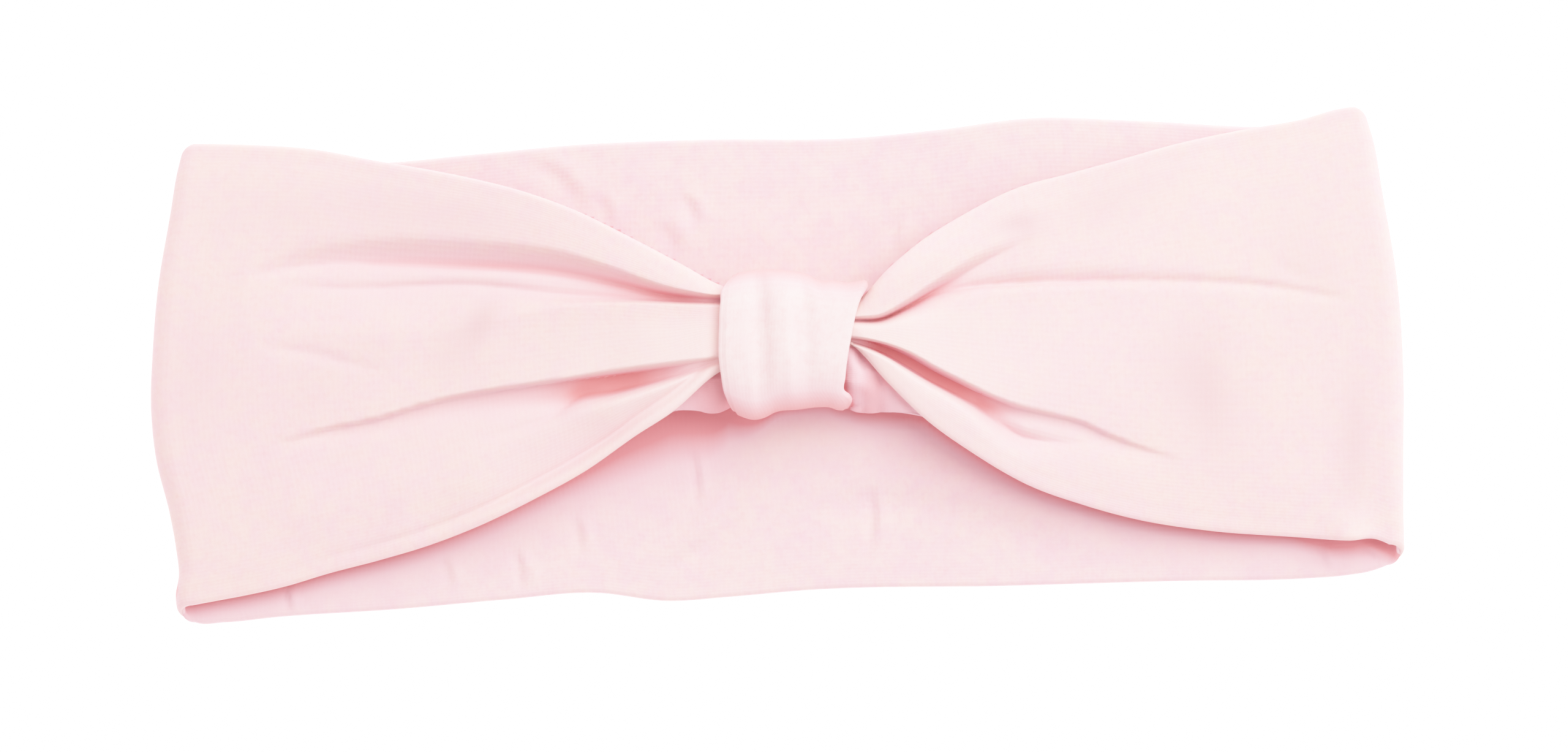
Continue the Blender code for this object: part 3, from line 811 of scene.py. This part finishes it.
def jersey(name, base, patch_and_shade, fleck_and_shade, mottling=1.0):
    """Fine matte jersey: knitted rows in the bump, soft fuzz, and slight changes of shade.

    base turns to patch_and_shade in random soft patches and to fleck_and_shade in fine flecks. The same two colours
    paint shade: the first in shallow hollows and soft shadows, the second in the deepest folds and shadows.
    """
    n = Nodes(name)
    place = n.add("TexCoord")
    uv, spot = place.outputs["UV"], place.outputs["Object"]
    patches = n.ramp(n.noise(spot, 26.0), 0.42, 0.66)
    mottle = n.ramp(n.noise(spot, 300.0), 0.36, 0.64)
    shade = n.math("ADD", n.math("MULTIPLY", patches, 0.4), n.math("MULTIPLY", mottle, 0.8))
    colour = n.mix_colour(n.math("MULTIPLY", n.ramp(shade, 0.1, 1.1), mottling), base, patch_and_shade)
    fleck = n.ramp(n.noise(spot, 900.0, detail=2.0), 0.45, 0.70)
    colour = n.mix_colour(n.math("MULTIPLY", fleck, 0.12), colour, fleck_and_shade)
    # Darker, browner marks; the broad one on the upper left panel is painted shade.
    colour = n.mix_colour(n.math("MULTIPLY", n.stored("darker_mark"), 0.9), colour, DARKER_MARK_PINK)
    # Paler patches; the one on the back panel is painted light.
    colour = n.mix_colour(n.math("MULTIPLY", n.stored("paler_patch"), 0.7), colour, PALER_PATCH_PINK)
    # hollow carries painted shade: the patch colour in shallow hollows and soft shadows, the fleck colour in the
    # deepest ones.
    hollow = n.stored("hollow")
    colour = n.mix_colour(n.ramp(hollow, 0.08, 0.55), colour, patch_and_shade)
    colour = n.mix_colour(n.math("MULTIPLY", n.ramp(hollow, 0.42, 0.82), 0.85), colour, fleck_and_shade)
    n.link(colour, n.shader.inputs["Base Color"])

    bands = {"wave_type": "BANDS"}
    rows = n.texture("Wave", uv, {"Scale": 330.0, "Distortion": 1.2, "Detail": 1.0}, bands_direction="X", **bands)
    ribs = n.texture("Wave", uv, {"Scale": 260.0, "Distortion": 0.8}, bands_direction="Y", **bands)
    knit = n.math("ADD", n.math("MULTIPLY", rows, 0.45), n.math("MULTIPLY", ribs, 0.55))
    fuzz = n.noise(spot, 1500.0, detail=2.0)
    n.bump(n.math("ADD", knit, n.math("MULTIPLY", fuzz, 0.8)), strength=0.55, distance=0.00005)
    n.surface({
        "Roughness": 0.92, "Specular IOR Level": 0.1,
        "Sheen Weight": 0.08, "Sheen Roughness": 0.5, "Sheen Tint": (1.0, 0.78, 0.80, 1.0),
        "Subsurface Weight": 0.12, "Subsurface Radius": (1.0, 0.42, 0.42), "Subsurface Scale": 0.0006,
    })
    return n.material


def thread_finish(name, colour):
    """Spun polyester thread: two twisted plies in the bump, with painted shade between the plies."""
    n = Nodes(name)
    spot = n.add("TexCoord").outputs["Object"]
    twist = n.texture("Wave", spot, {"Scale": 900.0}, wave_type="BANDS", bands_direction="DIAGONAL")
    painted_shade_between_plies = tuple(c * 0.88 for c in colour[:3]) + (1.0,)
    n.link(n.mix_colour(twist, colour, painted_shade_between_plies), n.shader.inputs["Base Color"])
    n.bump(twist, strength=1.0, distance=0.00004)
    n.surface({"Roughness": 0.6, "Sheen Weight": 0.15})
    return n.material


outer_jersey = jersey("outer jersey", PINK, PATCH_AND_SHADE_PINK, FLECK_AND_FOLD_SHADE_PINK)
lining_jersey = jersey("lining jersey", LINING_PINK, LINING_PATCH_AND_SHADOW_PINK, LINING_FLECK_AND_SHADOW_PINK)
wrap_jersey = jersey("wrap jersey", WRAP_PINK, PATCH_AND_SHADE_PINK, FLECK_AND_FOLD_SHADE_PINK, mottling=0.4)
thread_pink = thread_finish("sewing thread", THREAD_PINK)


# ---- the band ------------------------------------------------------------------------------------
OUTER_ROWS = 200
LINING_ROWS = 140
TURN_COLUMNS = 16
FRONT_ABOVE = 4.0  # points of the outer layer above this height are on the front
BACK_BELOW = 3.0  # points of the lining below this height are on the back
DEEPEST_HOLLOW = 7.5  # depth of a fold that counts as 1


def make_band():
    """Outer layer and lining, each one sheet of cloth round the whole loop."""
    points = OUTER.grid(crowded_shares(OUTER_ROWS), front_columns=260, turn_columns=TURN_COLUMNS, back_columns=110)
    mesh = make_mesh("outer_layer", points, BAND_FLAT)
    outer = add_piece("outer_layer", mesh, outer_jersey, "band_outer")
    x, y, z = np.moveaxis(points, -1, 0)
    on_front = z > FRONT_ABOVE
    # Painted shade on the left end where it turns down.
    painted_left_turn_shade = 0.5 * np.exp(-(x - left_end(np.linspace(0, 1, OUTER_ROWS))[:, None]) / 0.8)
    # hollow: painted shade in the folds, deeper where they are deeper, and at the left end's turn.
    store(outer, "hollow", np.maximum(fold_drop(x, y) / DEEPEST_HOLLOW * on_front, painted_left_turn_shade))
    # Darker, browner marks on the front; the broad one on the upper left panel is painted shade.
    store(outer, "darker_mark", sum(dimple(x, y, *mark) for mark in DARKER_MARKS) * on_front)
    # The front is paler near the wrap, below its middle.
    store(outer, "paler_patch", gathered(x, 26.0) * (1 - ease(y, 6, 11)) * on_front)
    thicken(outer, CLOTH)

    points = LINING.grid(crowded_shares(LINING_ROWS), front_columns=150, turn_columns=TURN_COLUMNS, back_columns=300)
    mesh = make_mesh("lining_layer", points, BAND_FLAT, flip=True)
    lining = add_piece("lining_layer", mesh, lining_jersey, "band_lining")
    x, y, z = np.moveaxis(points, -1, 0)
    on_back = z < BACK_BELOW
    # hollow: painted shadow that the front and the wrap cast on the back panel, and painted shade on the loose
    # lining beside the wrap.
    store(lining, "hollow", np.where(on_back, shelter(x, y), beside_wrap(x, y)))
    # Painted light: the back panel is paler in one place below the wrap, where the wrap's shadow falls.
    store(lining, "paler_patch", dimple(x, y, (1.0, -15.0), 5.0, 0.8, stretch=2.8) * on_back)
    thicken(lining, CLOTH)


# ---- the wrap ------------------------------------------------------------------------------------
wrap_top = as_function([
    (-10.8, 15.8), (-9.1, 16.3), (-7.2, 16.8), (-3.8, 17.3), (2.9, 17.0), (6.7, 16.1), (8.7, 15.0), (11.2, 14.8),
    (14.5, 14.3), (17.2, 14.6),
])
wrap_bottom = as_function([
    (-10.5, -8.6), (-9.4, -9.1), (-7.8, -10.0), (-4.5, -11.1), (-2.4, -10.7), (-0.7, -9.9), (3.9, -9.5),
    (8.1, -9.2), (9.7, -9.3), (11.4, -9.9), (13.1, -9.9), (15, -9.0),
])
wrap_left = as_function([
    (-11, -7.4), (-9.6, -8.8), (-7, -10.0), (-3.4, -10.5), (1.2, -10.8), (7.5, -10.5), (12.5, -10.1), (15.6, -9.4),
    (17.0, -7.8),
])
wrap_right = as_function([
    (-9.8, 13.2), (-8.9, 14.1), (-7.8, 13.9), (-6.2, 12.8), (-3.2, 13.0), (2.3, 13.8), (7.3, 14.8), (11.4, 15.7),
    (14.5, 16.8), (16.6, 18.0),
])
WRAP_MIDDLE_X = 2.0
wrap_fold_relief = as_function([  # the height of the soft bands that run round the wrap
    (-10.8, -0.3), (-9, 0.1), (-6.5, 0.25), (-4.6, -0.05), (-3.3, -0.5), (-2.2, -0.35), (-0.8, 0.25), (1.0, 0.6),
    (3.1, 0.55), (4.2, 0.05), (5.3, -0.3), (8.5, -0.1), (12, -0.3), (14, -0.5), (17, -0.7),
])


WRAP_SQUARENESS = 3.6  # of the upper side's rounded profile; the lower side is an ellipse, at 2
WRAP_SINK = 0.25  # how far the cloth wrap lies below the CAD's centre line
WRAP_RELIEF = 1.5  # strength of its soft bands on top; at its sides they keep the share below
WRAP_SIDE_RELIEF = 0.35


def wrap_point(x_share, angle, depth):
    """A point of the wrap; x_share runs from its left edge to its right one and depth is in from its outside.

    angle is 0 at the wrap's upper side (+Y) and a quarter turn on top of it (+Z).
    """
    c, s = np.cos(angle), np.sin(angle)
    power = np.where(c > 0, 2 / WRAP_SQUARENESS, 1.0)
    across = np.sign(c) * np.abs(c) ** power
    upright = np.sign(s) * np.abs(s) ** power
    middle = np.array(WRAP_MIDDLE_X)
    rough_y = mix(wrap_bottom(middle), wrap_top(middle), (across + 1) / 2)
    x = mix(wrap_left(rough_y), wrap_right(rough_y), x_share)
    low, high = wrap_bottom(x), wrap_top(x)
    half_y = (high - low) / 2 - depth
    half_z = (WRAP_HIGH[2] - WRAP_LOW[2]) / 2 - depth
    relief = WRAP_RELIEF * wrap_fold_relief(x) * mix(WRAP_SIDE_RELIEF, 1.0, np.abs(upright))
    relief = relief + 0.06 * ripples(x * 3.0, angle * 8, 9.0, seed=21)
    y = (low + high) / 2 + half_y * across
    z = (WRAP_HIGH[2] + WRAP_LOW[2]) / 2 + (half_z + relief) * upright - WRAP_SINK
    return x, y, z


BOTTOM = -math.pi / 2  # the angle at the wrap's underside, where its seam is
WRAP_SEAM = 0.035  # half the opening between the strip's ends, as an angle
PUCKER_DEPTH = 0.7  # the strip's ends turn in at the seam
PUCKER_ANGLE = 0.05


def make_wrap():
    """A strip folded into a flat sleeve, round the gathers: inner ply, turned edge, outer ply, edge, inner ply."""
    bend = WRAP_PLY / 2
    turn = np.linspace(math.pi / 2, -math.pi / 2, 13)
    columns = []
    angle = np.linspace(BOTTOM + WRAP_SEAM, BOTTOM + 2 * math.pi - WRAP_SEAM, 300)
    from_seam = np.minimum(angle - angle[0], angle[-1] - angle)
    pucker = PUCKER_DEPTH * np.exp(-from_seam / PUCKER_ANGLE)

    def column(x_share, depth, shift=0.0):
        x, y, z = wrap_point(np.full_like(angle, x_share), angle, depth + pucker)
        return np.stack([x + shift, y, z], axis=-1)

    for share in (0.48, 0.36, 0.24, 0.12):  # inner ply, from its seam to the left edge
        columns.append(column(share, WRAP_PLY))
    for a in turn:
        columns.append(column(0.0, bend + bend * math.sin(a), bend - bend * math.cos(a)))
    for share in np.linspace(0.05, 0.95, 90):  # outer ply
        columns.append(column(share, 0.0))
    for a in turn[::-1]:
        columns.append(column(1.0, bend + bend * math.sin(a), -bend + bend * math.cos(a)))
    for share in (0.88, 0.76, 0.64, 0.52):  # inner ply, from the right edge to its seam
        columns.append(column(share, WRAP_PLY))
    points = np.stack(columns, axis=1)
    mesh = make_mesh("wrap_cloth", points, WRAP_FLAT, flip=True)
    wrap = add_piece("wrap_cloth", mesh, wrap_jersey, "centre_wrap")
    x, y, _ = np.moveaxis(points, -1, 0)
    # Painted shade along the wrap's lower side and its top edge, stored in hollow.
    low_shade = 0.78 * np.clip(1 - (y - wrap_bottom(x)) / 8.5, 0, 1) ** 1.1
    top_shade = 0.75 * np.clip(1 - (wrap_top(x) - y) / 5.3, 0, 1)
    store(wrap, "hollow", np.maximum(low_shade, top_shade))
    thicken(wrap, CLOTH)


# ---- threads -------------------------------------------------------------------------------------
THREAD_RADIUS = 0.13
JOIN_INSET = 15  # rows of the band that the join stays away from both edge seams
GATHERING_DEPTH = WRAP_PLY + 0.35  # the gathering thread lies just inside the wrap


def thread_piece(name, points):
    """A row of stitches as one thread through the points."""
    curve = bpy.data.curves.new(name, "CURVE")
    curve.dimensions = "3D"
    curve.bevel_depth = THREAD_RADIUS * MM
    curve.bevel_resolution = 2
    curve.use_fill_caps = True
    line = curve.splines.new("POLY")
    line.points.add(len(points) - 1)
    for spot, point in zip(line.points, points):
        spot.co = (*(float(c) * MM for c in point), 1)
    thread = add_piece(name + "_stitched", curve, thread_pink, name)


def seam_line(points, distance):
    """The line across a grid's columns that keeps this distance from the grid's first row."""
    steps = np.linalg.norm(np.diff(points, axis=0), axis=2)
    reach = np.concatenate([np.zeros((1, points.shape[1])), np.cumsum(steps, axis=0)])
    line = [
        [np.interp(distance, reach[:, column], points[:, column, axis]) for axis in range(3)]
        for column in range(points.shape[1])
    ]
    return np.array(line)


def thread_round_wrap(name, x_share, angle, depth):
    """A thread along the wrap's shape, at this depth in from its outside."""
    thread_piece(name, np.stack(wrap_point(x_share, angle, depth), axis=-1))


def make_threads():
    """The band's three seams, the gathering thread and the wrap's two seams, all of them hidden."""
    between = BETWEEN.grid(np.linspace(0, 1, 60), front_columns=90, turn_columns=10, back_columns=60)
    thread_piece("lower_edge_thread", seam_line(between, EDGE_SEAM_INSET))
    thread_piece("upper_edge_thread", seam_line(between[::-1], EDGE_SEAM_INSET))
    join = between[JOIN_INSET:-JOIN_INSET, 0]
    join[:, 0] = SEAM_X
    thread_piece("end_join_thread", join)
    turns = np.linspace(0, 2 * math.pi * GATHERING_TURNS, 90 * GATHERING_TURNS)
    thread_round_wrap("gathering_thread", mix(0.35, 0.65, turns / turns[-1]), turns, GATHERING_DEPTH)
    round_ = np.linspace(BOTTOM + 0.12, BOTTOM + 2 * math.pi - 0.12, 120)
    thread_round_wrap("wrap_seam_thread", 0.5, round_, WRAP_PLY / 2)
    along = np.linspace(0.08, 0.92, 30)
    thread_round_wrap("wrap_closing_thread", along, np.full_like(along, BOTTOM + 0.08), WRAP_PLY / 2)


# ---- floor, light and camera ---------------------------------------------------------------------
FLOOR_HALF = 3.0  # metres, as is the next
FLOOR_Z = -0.0004  # just clear of the cloth


def make_floor():
    """White ground that shines a little itself, so that it stays as white as in the photo."""
    mesh = bpy.data.meshes.new("floor")
    corners = [(FLOOR_HALF * a, FLOOR_HALF * b, FLOOR_Z) for a, b in ((-1, -1), (1, -1), (1, 1), (-1, 1))]
    mesh.from_pydata(corners, [], [(0, 1, 2, 3)])
    floor = bpy.data.objects.new("floor", mesh)
    bpy.context.scene.collection.objects.link(floor)
    n = Nodes("plain floor")
    n.surface({
        "Base Color": (0.95, 0.945, 0.95, 1.0), "Roughness": 0.9, "Specular IOR Level": 0.1,
        "Emission Color": (1.0, 0.995, 1.0, 1.0), "Emission Strength": 2.2,
    })
    floor.data.materials.append(n.material)


def area_light(name, place, target, size, power, colour):
    """A square light at a place in metres that shines at the target."""
    data = bpy.data.lights.new(name, "AREA")
    data.shape = "SQUARE"
    data.size = size
    data.energy = power
    data.color = colour
    light = bpy.data.objects.new(name, data)
    light.location = place
    light.rotation_euler = (Vector(target) - Vector(place)).to_track_quat("-Z", "Y").to_euler()
    bpy.context.scene.collection.objects.link(light)


WHITE_LEVEL = 3.2  # scene light that shows as white
RED_SHOULDER = [  # red runs into white earlier than green and blue do: share of white before and after
    (0.5, 0.58), (0.72, 0.775), (0.81, 0.843), (0.875, 0.885), (0.95, 0.928), (0.98, 0.962),
]


def make_light():
    """One large soft light from the upper right, and an even white surrounding."""
    world = bpy.data.worlds.new("studio")
    world.use_nodes = True
    background = world.node_tree.nodes["Background"]
    background.inputs["Color"].default_value = (1.0, 0.985, 1.02, 1.0)
    background.inputs["Strength"].default_value = 1.3
    bpy.context.scene.world = world
    area_light("key", (0.44, 0.56, 0.91), (0, 0, 0), size=1.1, power=31.0, colour=(1.0, 0.995, 0.97))
    soften_highlights()


def soften_highlights():
    """The soft shoulder of an overexposed photograph: light runs into white slowly, up to WHITE_LEVEL."""
    view = bpy.context.scene.view_settings
    view.view_transform = "Standard"
    view.use_curve_mapping = True
    mapping = view.curve_mapping
    mapping.extend = "HORIZONTAL"
    mapping.white_level = (WHITE_LEVEL,) * 3
    curve = mapping.curves[3]
    steps = 12
    full = 1 - math.exp(-WHITE_LEVEL)
    for step in range(1, steps):
        share = step / steps
        curve.points.new(share, (1 - math.exp(-WHITE_LEVEL * share)) / full)
    for before, after in RED_SHOULDER:
        mapping.curves[0].points.new(before, after)
    mapping.update()


CAMERA_LENS = 135.0
CAMERA_SENSOR = 36.0
VIEW_WIDTH = 0.300  # metres across the picture
CAMERA_AIM = (0.0014, -0.0030, 0.006)
CAMERA_ROLL = math.radians(-2.3)


def make_camera():
    """From straight above, turned like the photo."""
    data = bpy.data.cameras.new("camera")
    data.lens = CAMERA_LENS
    data.sensor_width = CAMERA_SENSOR
    data.dof.use_dof = False
    camera = bpy.data.objects.new("camera", data)
    distance = VIEW_WIDTH * CAMERA_LENS / CAMERA_SENSOR
    camera.location = (CAMERA_AIM[0], CAMERA_AIM[1], CAMERA_AIM[2] + distance)
    camera.rotation_euler = (0, 0, CAMERA_ROLL)
    bpy.context.scene.collection.objects.link(camera)
    bpy.context.scene.camera = camera


make_camera()
make_light()
make_floor()
make_band()
make_wrap()
make_threads()
